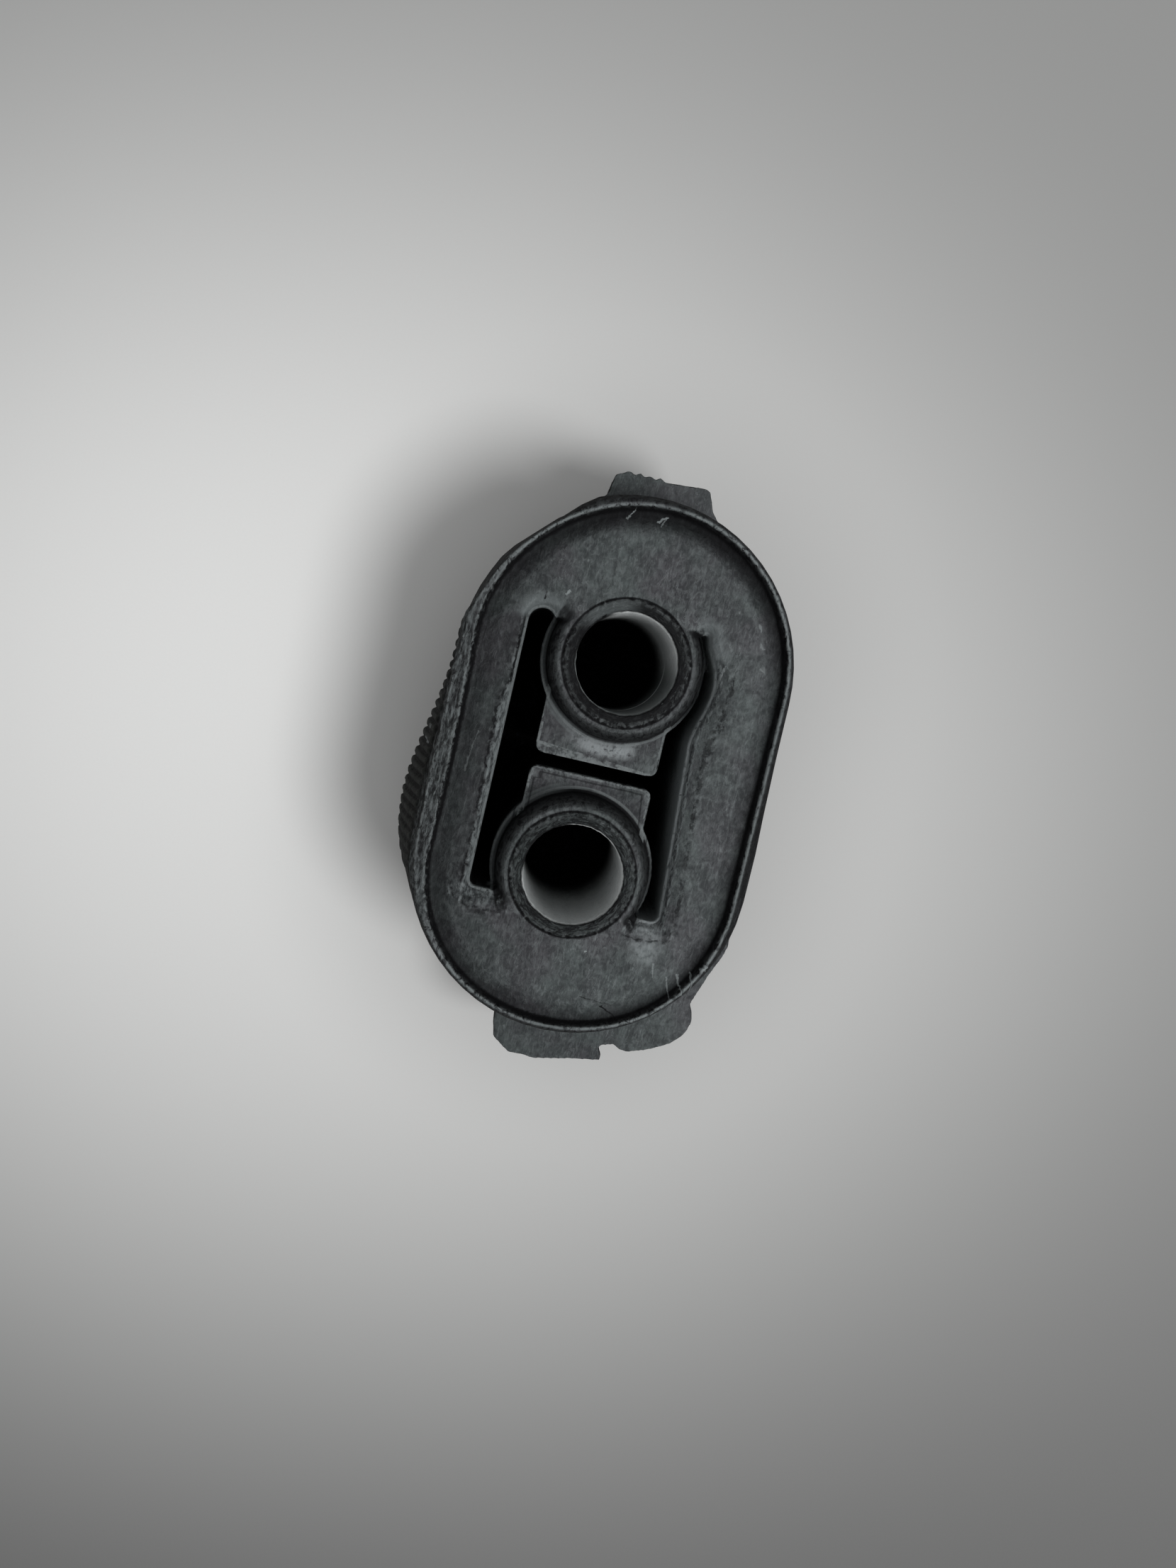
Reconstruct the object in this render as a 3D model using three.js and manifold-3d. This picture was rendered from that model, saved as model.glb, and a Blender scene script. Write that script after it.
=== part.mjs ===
// Exhaust hanger rubber: one moulded body with two rod bores, two flexing arms,
// two bumper blocks between the bores and torn moulding tabs at both ends.
// Millimetres. The body lies on its back at z = 0, the bores run along Z and
// the long axis runs along Y. Left and right are as seen from the front, from +Z.
import * as THREE from 'three';
import { mergeVertices } from 'three/addons/utils/BufferGeometryUtils.js';
import Module from 'manifold-3d';

const wasm = await Module();
wasm.setup();

// Overall depth along the bores, and the height of the mould parting plane.
const depth = 32;
const partingHeight = depth / 2;

// Rod bores.
const boreDiameter = 12.3;
const boreSpacing = 26.6;
const boreMiddle = -0.3;
const upperBoreShift = 0.15;
const lowerBoreShift = -0.35;
const boreEdge = 0.5;

// Collar round each bore: a worn flat ring, then a rounded shoulder that drops
// to the recessed level of the bumper blocks.
const collarWall = 4.25;
const collarStep = 0.8;
const ringWidth = 1.65;
const shoulderDrop = 3;
const blockRecess = 6;
const cleftDepth = 0.6;
const cleftWidth = 0.4;

// Front rim outline: two end arcs joined by their common tangents.
const upperLobe = 10.15;
const lowerLobe = 10.1;
const upperEndInset = 0.3;
const lowerEndInset = 0.4;
const upperEndShift = 0.35;
const lowerEndShift = 0.4;

// Flank: how far it draws out between the rim and the parting plane.
const flankDraft = 0.4;
const bulgeReach = 3.05;
const bulgeCentre = -10;
const bulgeSpread = 12.8;
const bulgeRightShare = 0.85;

// The upper left shoulder is flattened by two straight cuts across the rim. Each
// faces an angle in degrees, and lies further out at the parting plane.
const flatHighAngle = 135;
const flatHighCut = 1.35;
const flatHighParting = 0.4;
const flatLowAngle = 157.5;
const flatLowCut = 1.05;
const flatLowParting = 0.05;

// Cross ribs on the left flank.
const ribCount = 24;
const ribPitch = 1.35;
const ribHeight = 0.42;
const ribLead = 1.8;
const ribMargin = 1.7;
const ribGrooveShare = 0.36;

// Raised lip and the trough inside it. The lip is a thin crest, broad and crisp
// only along the left arm.
const crestInset = 0.65;
const crestInsetLeft = 0.15;
const crestShoulder = 0.9;
const crestShoulderAngle = 138;
const crestShoulderSpread = 48;
const crestRight = 0.2;
const crestFoot = 0.3;
const lipThin = 0.25;
const lipBroad = 1.85;
const lipCentre = -3.5;
const lipSpread = 17;
const troughDepth = 1.7;
const faceDrop = 0.4;
const backRound = 0.8;

// Slots beside the collars and blocks.
const leftGap = 2.2;
const leftSlotLift = 2.65;
const leftSlotRound = 1.7;
const rightGapUpper = -0.5;
const rightGapLower = 1.0;
const rightGapCollar = 0.75;
const rightTipAngle = 31.5;
const rightTipGap = -0.05;
const slotLowerReach = 4.3;
const slotCorner = 1;
const slotTipRound = 0.25;
const mouthWidth = 1.2;
const mouthDepth = 2.2;
const mouthEndShare = 2.6;
const mouthLeftShare = 0.55;
const mouthRightShare = 1.6;

// Bumper blocks.
const blockInset = 2.5;
const blockShift = -0.35;
const blockGap = 1.7;
const blockGapMiddle = -0.95;
const blockCorner = 1.2;

// Torn moulding tabs and the thin ragged flash on the right flank.
const tabThickness = 6;
const tabReachUpper = 4.2;
const tabReachLower = 7.6;
const finThickness = 1.2;
const finReach = 0.5;

// Steps per full turn of the bores and collars.
const turnSteps = 60;

const boreRadius = boreDiameter / 2;
const collarRadius = boreRadius + collarWall;
const shoulderRadius = collarRadius - collarStep;
const ringRadius = boreRadius + ringWidth;
const upperBore = new THREE.Vector2(upperBoreShift, boreMiddle + boreSpacing / 2);
const lowerBore = new THREE.Vector2(lowerBoreShift, boreMiddle - boreSpacing / 2);
const upperEnd = new THREE.Vector2(upperEndShift, upperBore.y - upperEndInset);
const lowerEnd = new THREE.Vector2(lowerEndShift, lowerBore.y + lowerEndInset);
const upperEndRadius = collarRadius + upperLobe;
const lowerEndRadius = collarRadius + lowerLobe;
const blockTop = depth - blockRecess;
const faceHeight = depth - faceDrop;

// The common tangents of the two end arcs.
const endLine = new THREE.Vector2().subVectors(upperEnd, lowerEnd);
const endAngle = Math.atan2(endLine.y, endLine.x);
const tangentTurn = Math.PI / 2 - Math.asin((lowerEndRadius - upperEndRadius) / endLine.length());
const sideLength = endLine.length() * Math.sin(tangentTurn);
const upperArcLength = 2 * tangentTurn * upperEndRadius;
const lowerArcLength = 2 * (Math.PI - tangentTurn) * lowerEndRadius;
const rimTravel = upperArcLength + lowerArcLength + 2 * sideLength;

// A point of the rim outline and its outward direction, for a distance walked
// along the outline from the right end of the upper arc, over the top.
function rimAt(travel) {
  let left = travel;
  const rightAngle = endAngle - tangentTurn;
  const leftAngle = endAngle + tangentTurn;
  if (left <= upperArcLength) {
    return onCircle(upperEnd, upperEndRadius, rightAngle + left / upperEndRadius, 0);
  }
  left -= upperArcLength;
  if (left <= sideLength) {
    return onCircle(upperEnd, upperEndRadius, leftAngle, left);
  }
  left -= sideLength;
  if (left <= lowerArcLength) {
    return onCircle(lowerEnd, lowerEndRadius, leftAngle + left / lowerEndRadius, 0);
  }
  left -= lowerArcLength;
  return onCircle(lowerEnd, lowerEndRadius, rightAngle, left);
}

// A point on a circle, moved on along the tangent by a run.
function onCircle(centre, radius, angle, run) {
  const out = new THREE.Vector2(Math.cos(angle), Math.sin(angle));
  const along = new THREE.Vector2(-out.y, out.x);
  const point = centre.clone().addScaledVector(out, radius).addScaledVector(along, run);
  return { point, out };
}

// A smooth hump, one at its centre and fading to nothing away from it.
function hump(value, centre, spread) {
  const reach = (value - centre) / spread;
  return Math.exp(-reach * reach);
}

// Places along the rim where the body is drawn, each with its rib share.
function rimStations() {
  const stations = [];
  const ribStart = upperArcLength - ribLead;
  const ribEnd = ribStart + ribCount * ribPitch;
  const leftArc = upperArcLength + sideLength + lowerArcLength;
  spread(stations, 0, ribStart, 28);
  for (let rib = 0; rib < ribCount; rib += 1) {
    const start = ribStart + rib * ribPitch;
    const fade = Math.sin(Math.PI * (rib + 1) / (ribCount + 1)) ** 0.5;
    const groove = ribPitch * ribGrooveShare;
    const slope = ribPitch * 0.08;
    stations.push({ travel: start, rib: 0 });
    stations.push({ travel: start + groove, rib: 0 });
    stations.push({ travel: start + groove + slope, rib: fade });
    stations.push({ travel: start + ribPitch - slope, rib: fade });
  }
  spread(stations, ribEnd, leftArc, 26);
  spread(stations, leftArc, rimTravel, 4);
  return stations;
}

function spread(stations, from, to, steps) {
  for (let step = 0; step < steps; step += 1) {
    stations.push({ travel: from + (to - from) * step / steps, rib: 0 });
  }
}

// How far the crest of the lip stands in from the rim, and how wide it is. It
// stays a smooth curve behind the flattened shoulder, so it stands further in there.
function crestAt(rim) {
  const onLeft = THREE.MathUtils.clamp(-rim.out.x, 0, 1) ** 3;
  const onRight = THREE.MathUtils.clamp(rim.out.x, 0, 1) ** 6;
  const atFoot = THREE.MathUtils.clamp(-rim.out.y, 0, 1) ** 8;
  const beside = hump(rim.point.y, lipCentre, lipSpread) ** 0.7 * onLeft;
  const bearing = THREE.MathUtils.radToDeg(Math.atan2(rim.out.y, rim.out.x));
  const facing = THREE.MathUtils.euclideanModulo(bearing, 360);
  const shoulder = crestShoulder * hump(facing, crestShoulderAngle, crestShoulderSpread);
  const round = crestInset + shoulder + crestRight * onRight + crestFoot * atFoot;
  const inset = THREE.MathUtils.lerp(round, crestInsetLeft, beside);
  return { inset, width: THREE.MathUtils.lerp(lipThin, lipBroad, beside) };
}

// How far a flat of the shoulder cuts in behind the round rim outline.
function flatInset(rim, degrees, cut) {
  const angle = THREE.MathUtils.degToRad(degrees);
  const facing = new THREE.Vector2(Math.cos(angle), Math.sin(angle));
  const turn = facing.dot(rim.out);
  if (turn < 0.5 || rim.point.y < upperEnd.y) {
    return 0;
  }
  const limit = facing.dot(upperEnd) + upperEndRadius - cut;
  const excess = (facing.dot(rim.point) - limit) / turn;
  return excess > 0 ? excess : 0;
}

function shoulderInset(rim, rise) {
  const high = THREE.MathUtils.lerp(flatHighCut, flatHighParting, rise);
  const low = THREE.MathUtils.lerp(flatLowCut, flatLowParting, rise);
  return Math.max(flatInset(rim, flatHighAngle, high), flatInset(rim, flatLowAngle, low));
}

// The body before its openings are cut: rings stacked from the back face up
// over the flank, the lip and the trough to the front face. A level is drawn in
// by its inset, by a share of the way to the crest, or by a step past the lip.
function bodyRings() {
  const levels = [
    { height: 0, inset: backRound },
    { height: backRound * 0.3, inset: backRound * 0.3 },
    { height: backRound, inset: 0 },
    { height: ribMargin, inset: 0 },
    { height: ribMargin + 0.4, inset: 0, ribbed: true },
    { height: partingHeight * 0.38, inset: 0, ribbed: true },
    { height: partingHeight * 0.69, inset: 0, ribbed: true },
    { height: partingHeight, inset: -0.15, ribbed: true },
    { height: depth - partingHeight * 0.69, inset: 0, ribbed: true },
    { height: depth - partingHeight * 0.38, inset: 0, ribbed: true },
    { height: depth - ribMargin - 0.4, inset: 0, ribbed: true },
    { height: depth - ribMargin, inset: 0 },
    { height: depth - 0.5, crest: 0.45 },
    { height: depth - 0.12, crest: 0.8 },
    { height: depth, crest: 1 },
    { height: depth, past: 0 },
    { height: depth - troughDepth * 0.85, past: 0.45 },
    { height: depth - troughDepth, past: 1 },
    { height: depth - troughDepth * 0.72, past: 1.9 },
    { height: depth - troughDepth * 0.38, past: 2.8 },
    { height: faceHeight, past: 4 },
  ];
  const stations = rimStations();
  return levels.map((level) => stations.map((station) => {
    const rim = rimAt(station.travel);
    const crest = crestAt(rim);
    const aside = Math.abs(rim.out.x);
    const rise = 1 - Math.abs(level.height - partingHeight) / partingHeight;
    const belly = Math.sin(Math.PI / 2 * rise);
    const share = rim.out.x > 0 ? bulgeRightShare : 1;
    const bulge = share * bulgeReach * hump(rim.point.y, bulgeCentre, bulgeSpread) * aside ** 2;
    const shoulder = shoulderInset(rim, Math.max(0, rise));
    let offset = 0;
    if (level.past !== undefined) {
      offset = -crest.inset - crest.width - level.past;
    } else if (level.crest !== undefined) {
      offset = -THREE.MathUtils.lerp(shoulder, crest.inset, level.crest);
    } else {
      offset = -level.inset - shoulder;
    }
    if (level.inset <= 0) {
      offset += flankDraft * rise + bulge * belly;
    }
    if (level.ribbed) {
      offset += ribHeight * station.rib;
    }
    const place = rim.point.clone().addScaledVector(rim.out, offset);
    return new THREE.Vector3(place.x, place.y, level.height);
  }));
}

// A closed solid through a stack of closed rings of equal length.
function loft(rings) {
  const count = rings[0].length;
  const positions = [];
  const faces = [];
  rings.forEach((ring) => {
    ring.forEach((point) => positions.push(point.x, point.y, point.z));
  });
  for (let level = 0; level + 1 < rings.length; level += 1) {
    for (let step = 0; step < count; step += 1) {
      const next = (step + 1) % count;
      const low = level * count;
      const high = low + count;
      faces.push(low + step, low + next, high + next);
      faces.push(low + step, high + next, high + step);
    }
  }
  const last = (rings.length - 1) * count;
  const bottom = rings[0].map((point) => new THREE.Vector2(point.x, point.y));
  const top = rings[rings.length - 1].map((point) => new THREE.Vector2(point.x, point.y));
  THREE.ShapeUtils.triangulateShape(bottom, []).forEach(([a, b, c]) => faces.push(c, b, a));
  THREE.ShapeUtils.triangulateShape(top, []).forEach(([a, b, c]) => {
    faces.push(last + a, last + b, last + c);
  });
  const geometry = new THREE.BufferGeometry();
  geometry.setAttribute('position', new THREE.Float32BufferAttribute(positions, 3));
  geometry.setIndex(faces);
  return geometry;
}

// The opening between the arms, as seen from the front. It is drawn straight
// across inside the collars, where the collars fill it again.
function windowShape(grow) {
  const left = -collarRadius - leftGap - grow * mouthLeftShare;
  const low = lowerBore.y - slotLowerReach - grow * mouthEndShare;
  const hidden = lowerBore.y - slotLowerReach + 1;
  const ledgeLeft = lowerBore.x - collarRadius + 1.4 + grow * 1.3;
  const ledgeRight = lowerBore.x + collarRadius - 1.1 - grow * 0.9;
  const rightLow = collarRadius + rightGapLower + grow * mouthRightShare;
  const rightHigh = collarRadius + rightGapUpper + grow * mouthRightShare;
  const besideCollar = upperBore.x + collarRadius + rightGapCollar + grow * mouthRightShare;
  const tipAngle = THREE.MathUtils.degToRad(rightTipAngle);
  const tipRadius = collarRadius + rightTipGap;
  const tipX = upperBore.x + tipRadius * Math.cos(tipAngle);
  const tipY = upperBore.y + tipRadius * Math.sin(tipAngle);
  const tipRound = slotTipRound + grow;
  const roundX = left + leftSlotRound + grow * 1.5;
  const roundY = upperBore.y + leftSlotLift;
  const corner = slotCorner + grow * 0.6;
  const shape = new THREE.Shape();
  shape.moveTo(left + corner, low);
  shape.lineTo(ledgeLeft, low);
  shape.lineTo(ledgeLeft + 1.6, hidden);
  shape.lineTo(ledgeRight - 1.6, hidden);
  shape.lineTo(ledgeRight, low + 0.4 + grow * 0.6);
  shape.lineTo(rightLow - corner, low + 0.4);
  shape.quadraticCurveTo(rightLow, low + 0.4, rightLow, low + 0.4 + corner);
  shape.lineTo(rightHigh, 5);
  shape.bezierCurveTo(rightHigh + 0.1, 8, besideCollar, upperBore.y - 3.5,
    besideCollar, upperBore.y - 0.5);
  shape.bezierCurveTo(besideCollar, upperBore.y + 2, tipX + tipRound + 0.3, tipY - 2,
    tipX + tipRound, tipY);
  shape.absarc(tipX, tipY, tipRound, 0, Math.PI * 0.9, false);
  shape.lineTo(roundX + 1.8 + grow, roundY + 0.9);
  shape.absarc(roundX, roundY, leftSlotRound + grow * 1.5, 0.5, Math.PI, false);
  shape.lineTo(left, low + corner);
  shape.quadraticCurveTo(left, low, left + corner, low);
  return shape;
}

function windowRing(grow, height) {
  const points = windowShape(grow).getPoints(8);
  points.pop();
  return points.map((point) => new THREE.Vector3(point.x, point.y, height));
}

// A bumper block with its two corners at the gap rounded.
function blockShape(root, edge) {
  const side = collarRadius - blockInset;
  const turn = Math.sign(edge - root) * blockCorner;
  const shape = new THREE.Shape();
  shape.moveTo(blockShift - side, root);
  shape.lineTo(blockShift + side, root);
  shape.lineTo(blockShift + side, edge - turn);
  shape.quadraticCurveTo(blockShift + side, edge, blockShift + side - blockCorner, edge);
  shape.lineTo(blockShift - side + blockCorner, edge);
  shape.quadraticCurveTo(blockShift - side, edge, blockShift - side, edge - turn);
  shape.closePath();
  return shape;
}

function slab(shape, low, high) {
  const geometry = new THREE.ExtrudeGeometry(shape, {
    depth: high - low,
    bevelEnabled: false,
    curveSegments: 6,
  });
  geometry.translate(0, 0, low);
  return geometry;
}

// A turned solid about an upright axis, from a profile of radius and height.
function turned(profile, centre) {
  const points = profile.map(([radius, height]) => new THREE.Vector2(radius, height));
  const geometry = new THREE.LatheGeometry(points, turnSteps);
  geometry.rotateX(Math.PI / 2);
  geometry.translate(centre.x, centre.y, 0);
  return geometry;
}

function collarProfile() {
  const profile = [[0, blockTop - 4], [shoulderRadius, blockTop - 4]];
  const width = shoulderRadius - ringRadius;
  for (let step = 0; step <= 5; step += 1) {
    const angle = Math.PI / 2 * step / 5;
    const radius = ringRadius + width * Math.cos(angle);
    const height = faceHeight - shoulderDrop * (1 - Math.sin(angle));
    profile.push([radius, height]);
  }
  profile.push([ringRadius - 0.05, faceHeight + 0.15]);
  profile.push([0, faceHeight + 0.15]);
  return profile;
}

function boreProfile() {
  return [
    [0, -1],
    [boreRadius + boreEdge, -1],
    [boreRadius + boreEdge, 0],
    [boreRadius, boreEdge],
    [boreRadius, depth - boreEdge - 0.6],
    [boreRadius + boreEdge * 0.6, depth - 0.2],
    [boreRadius + boreEdge * 0.6, depth + 1],
    [0, depth + 1],
  ];
}

// The narrow cleft along the outer edge of the worn ring.
function cleftProfile() {
  return [
    [ringRadius - cleftWidth / 2, depth + 1],
    [ringRadius - cleftWidth / 2, faceHeight],
    [ringRadius, faceHeight - cleftDepth],
    [ringRadius + cleftWidth / 2, faceHeight],
    [ringRadius + cleftWidth / 2, depth + 1],
    [ringRadius - cleftWidth / 2, depth + 1],
  ];
}

// The upper moulding tab, with a row of torn bumps on its left half.
function upperTab() {
  const rimTop = upperEnd.y + upperEndRadius;
  const tip = rimTop + tabReachUpper;
  const shape = new THREE.Shape();
  shape.moveTo(-11, rimTop - 4.5);
  shape.lineTo(-10.2, rimTop - 2.5);
  shape.quadraticCurveTo(-7.5, rimTop - 0.7, -6.3, rimTop + 0.75);
  shape.lineTo(-5.8, tip - 0.8);
  shape.lineTo(-4.7, tip - 0.3);
  for (let bump = 0; bump < 4; bump += 1) {
    const start = -4.6 + bump * 1.35;
    const rise = 0.25 + 0.15 * (bump % 2);
    shape.quadraticCurveTo(start + 0.5, tip + rise, start + 1, tip - 0.2);
    shape.lineTo(start + 1.35, tip - 0.3);
  }
  shape.lineTo(3, tip - 0.1);
  shape.lineTo(6, tip + 0.15);
  shape.lineTo(6.7, tip - 0.1);
  shape.lineTo(7.6, rimTop + 1.8);
  shape.quadraticCurveTo(8.5, rimTop + 0.4, 10.7, rimTop - 1.3);
  shape.lineTo(12, rimTop - 4);
  shape.closePath();
  return shape;
}

// The lower moulding tab: it runs from the foot round to the right flank and
// has a piece torn out of it.
function lowerTab() {
  const rimFoot = lowerEnd.y - lowerEndRadius;
  const tip = rimFoot - tabReachLower;
  const shape = new THREE.Shape();
  shape.moveTo(-5, rimFoot + 3);
  shape.lineTo(-5.3, rimFoot - 3.6);
  shape.lineTo(-4.8, tip + 1.8);
  shape.lineTo(-3.3, tip + 0.7);
  shape.lineTo(-2.2, tip);
  shape.lineTo(-0.6, tip + 0.15);
  shape.lineTo(1, tip - 0.1);
  shape.lineTo(2.7, tip + 0.2);
  shape.lineTo(6.5, tip + 1);
  shape.lineTo(10, tip + 1.5);
  shape.lineTo(10, tip + 2.3);
  shape.lineTo(9.5, tip + 3.1);
  shape.lineTo(9.7, tip + 3.6);
  shape.lineTo(11.4, tip + 4.1);
  shape.lineTo(12.2, tip + 3.6);
  shape.lineTo(13.4, tip + 3.4);
  shape.lineTo(16.4, tip + 4.5);
  shape.quadraticCurveTo(19.4, tip + 5.7, 20.5, tip + 7.6);
  shape.quadraticCurveTo(21.6, tip + 9.6, 20.3, tip + 11.7);
  shape.lineTo(20.7, tip + 13);
  shape.lineTo(21.8, tip + 16.2);
  shape.lineTo(22.8, tip + 18.4);
  shape.lineTo(23.5, tip + 20.7);
  shape.lineTo(23.3, tip + 22.6);
  shape.lineTo(18, tip + 22);
  shape.lineTo(14, tip + 13);
  shape.closePath();
  return shape;
}

// The thin ragged flash fin above the lower tab on the right flank.
function flankFin() {
  const side = lowerEnd.x + lowerEndRadius + flankDraft + bulgeReach * bulgeRightShare;
  const shape = new THREE.Shape();
  shape.moveTo(side - 4, -22);
  shape.lineTo(side - 1.2, -22);
  shape.lineTo(side + finReach * 0.2, -18.4);
  shape.lineTo(side + finReach * 0.6, -16.6);
  shape.lineTo(side + finReach * 0.3, -14.4);
  shape.lineTo(side + finReach * 0.3, -10.2);
  shape.lineTo(side + finReach, -9.2);
  shape.lineTo(side + finReach * 0.9, -7.4);
  shape.lineTo(side + finReach * 0.2, -6.5);
  shape.lineTo(side - 1, -5.6);
  shape.lineTo(side - 4, -5);
  shape.closePath();
  return shape;
}

// A solid body of the kernel from a closed mesh, with its faces outward.
function solid(geometry) {
  const bare = geometry.clone();
  bare.deleteAttribute('normal');
  bare.deleteAttribute('uv');
  const merged = mergeVertices(bare, 1e-4);
  const places = merged.attributes.position;
  const corners = Array.from(merged.index.array);
  const kept = [];
  let volume = 0;
  const a = new THREE.Vector3();
  const b = new THREE.Vector3();
  const c = new THREE.Vector3();
  for (let at = 0; at < corners.length; at += 3) {
    const [first, second, third] = corners.slice(at, at + 3);
    if (first !== second && second !== third && third !== first) {
      kept.push(first, second, third);
      a.fromBufferAttribute(places, first);
      b.fromBufferAttribute(places, second);
      c.fromBufferAttribute(places, third);
      volume += a.dot(b.cross(c));
    }
  }
  if (volume < 0) {
    kept.reverse();
  }
  return new wasm.Manifold(new wasm.Mesh({
    numProp: 3,
    vertProperties: new Float32Array(places.array),
    triVerts: new Uint32Array(kept),
  }));
}

const body = solid(loft(bodyRings()));
const collars = solid(turned(collarProfile(), upperBore))
  .add(solid(turned(collarProfile(), lowerBore)));

// The through opening leaves the two collars and the bumper blocks standing. Its
// mouth is rounded over into the front face.
const through = solid(loft([windowRing(0, -1), windowRing(0, depth + 1)]));
const mouth = solid(loft([
  windowRing(0, depth - mouthDepth),
  windowRing(mouthWidth * 0.35, faceHeight - mouthDepth * 0.3),
  windowRing(mouthWidth, faceHeight + 0.02),
  windowRing(mouthWidth, depth + 1),
]));
const upperGapEdge = blockGapMiddle + blockGap / 2;
const lowerGapEdge = blockGapMiddle - blockGap / 2;
const discs = [upperBore, lowerBore].map((centre) => solid(turned([
  [0, -2],
  [collarRadius, -2],
  [collarRadius, depth + 2],
  [0, depth + 2],
], centre)));
const blocks = [
  solid(slab(blockShape(upperBore.y, upperGapEdge), -2, depth + 2)),
  solid(slab(blockShape(lowerBore.y, lowerGapEdge), -2, depth + 2)),
];
const island = discs[0].add(discs[1]).add(blocks[0]).add(blocks[1]);
const above = solid(loft([windowRing(0, blockTop), windowRing(0, depth + 1)]));

const tabLow = partingHeight - tabThickness / 2;
const tabHigh = partingHeight + tabThickness / 2;
const finLow = partingHeight - finThickness / 2;
const finHigh = partingHeight + finThickness / 2;

const bores = solid(turned(boreProfile(), upperBore))
  .add(solid(turned(boreProfile(), lowerBore)));
const clefts = solid(turned(cleftProfile(), upperBore))
  .add(solid(turned(cleftProfile(), lowerBore)));

const finished = body
  .subtract(through.subtract(island))
  .subtract(above.subtract(collars))
  .subtract(mouth.subtract(collars))
  .add(collars)
  .add(solid(slab(upperTab(), tabLow, tabHigh)))
  .add(solid(slab(lowerTab(), tabLow, tabHigh)))
  .add(solid(slab(flankFin(), finLow, finHigh)))
  .subtract(clefts)
  .subtract(bores);

const result = finished.getMesh();
const rubber = new THREE.BufferGeometry();
rubber.setAttribute('position', new THREE.Float32BufferAttribute(result.vertProperties, 3));
rubber.setIndex(Array.from(result.triVerts));
rubber.computeBoundingBox();
const middle = rubber.boundingBox.getCenter(new THREE.Vector3());
rubber.translate(-middle.x, -middle.y, -rubber.boundingBox.min.z);
rubber.computeVertexNormals();

const material = new THREE.MeshStandardMaterial({ color: 0x2b2d2e, roughness: 0.85 });
material.name = 'black_rubber';
const hanger = new THREE.Mesh(rubber, material);
hanger.name = 'hanger_rubber';

const group = new THREE.Group();
group.name = 'exhaust_hanger_rubber';
group.add(hanger);

export default group;
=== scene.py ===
import math

import bpy
import numpy as np
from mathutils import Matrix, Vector


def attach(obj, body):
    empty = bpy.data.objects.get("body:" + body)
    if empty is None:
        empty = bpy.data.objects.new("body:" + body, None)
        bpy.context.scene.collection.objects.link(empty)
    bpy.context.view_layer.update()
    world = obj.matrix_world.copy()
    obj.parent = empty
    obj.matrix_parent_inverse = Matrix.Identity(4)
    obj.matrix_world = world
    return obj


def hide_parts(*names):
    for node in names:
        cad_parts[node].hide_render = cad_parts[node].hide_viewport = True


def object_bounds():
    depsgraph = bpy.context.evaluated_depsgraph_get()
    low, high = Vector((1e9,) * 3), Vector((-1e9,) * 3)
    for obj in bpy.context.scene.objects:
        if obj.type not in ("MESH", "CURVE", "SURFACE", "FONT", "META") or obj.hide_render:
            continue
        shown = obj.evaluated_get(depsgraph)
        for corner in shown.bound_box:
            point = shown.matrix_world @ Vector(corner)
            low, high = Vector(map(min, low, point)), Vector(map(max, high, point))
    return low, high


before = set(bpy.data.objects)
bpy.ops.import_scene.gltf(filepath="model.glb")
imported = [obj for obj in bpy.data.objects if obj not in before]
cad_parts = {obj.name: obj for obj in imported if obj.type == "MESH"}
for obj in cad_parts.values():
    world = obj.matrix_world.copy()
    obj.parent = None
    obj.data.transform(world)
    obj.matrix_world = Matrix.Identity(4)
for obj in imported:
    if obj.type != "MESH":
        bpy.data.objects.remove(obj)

cadLow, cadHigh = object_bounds()
mm = 0.001

# Places in this script are drawn in millimetres from the middle between the rod bores.
# The model's own origin is the middle of its box, so the drawing is shifted by this much.
drawingShift = (0.156, -1.9)
upperBore = (0.15, 13.0)
lowerBore = (-0.35, -13.6)
boreRadius = 6.15
collarRadius = 10.2
# the rim runs round two half circles of this radius, with these middles
rimMiddle = 0.37
rimEnds = (-13.2, 12.7)
rimRadius = 20.52
# the two blocks, and the gap between them
blockSides = (-8.25, 7.55)
gapMiddle = -0.95
gapHalf = 0.85
# where the slots round off into their upper and lower ends
slotTop = (15.2, 16.4)
slotFoot = (-16.8, -18.0)


def clearSelection():
    if bpy.context.object and bpy.context.object.mode != "OBJECT":
        bpy.ops.object.mode_set(mode="OBJECT")
    bpy.ops.object.select_all(action="DESELECT")


def pickOnly(piece):
    clearSelection()
    piece.select_set(True)
    bpy.context.view_layer.objects.active = piece


def applyModifier(piece, kind, **settings):
    pickOnly(piece)
    modifier = piece.modifiers.new(kind.lower(), kind)
    for name, value in settings.items():
        setattr(modifier, name, value)
    bpy.ops.object.modifier_apply(modifier=modifier.name)


def setInput(tree, socket, value):
    if isinstance(value, bpy.types.NodeSocket):
        tree.links.new(value, socket)
    elif value is not None:
        socket.default_value = value


def addNode(tree, kind, settings=None, **inputs):
    node = tree.nodes.new(kind)
    for name, value in (settings or {}).items():
        setattr(node, name, value)
    for name, value in inputs.items():
        setInput(tree, node.inputs[name], value)
    return node


def calc(tree, operation, a, b=None, c=None, clamp=False):
    node = addNode(tree, "ShaderNodeMath", {"operation": operation, "use_clamp": clamp})
    for index, value in enumerate((a, b, c)):
        setInput(tree, node.inputs[index], value)
    return node.outputs[0]


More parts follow.
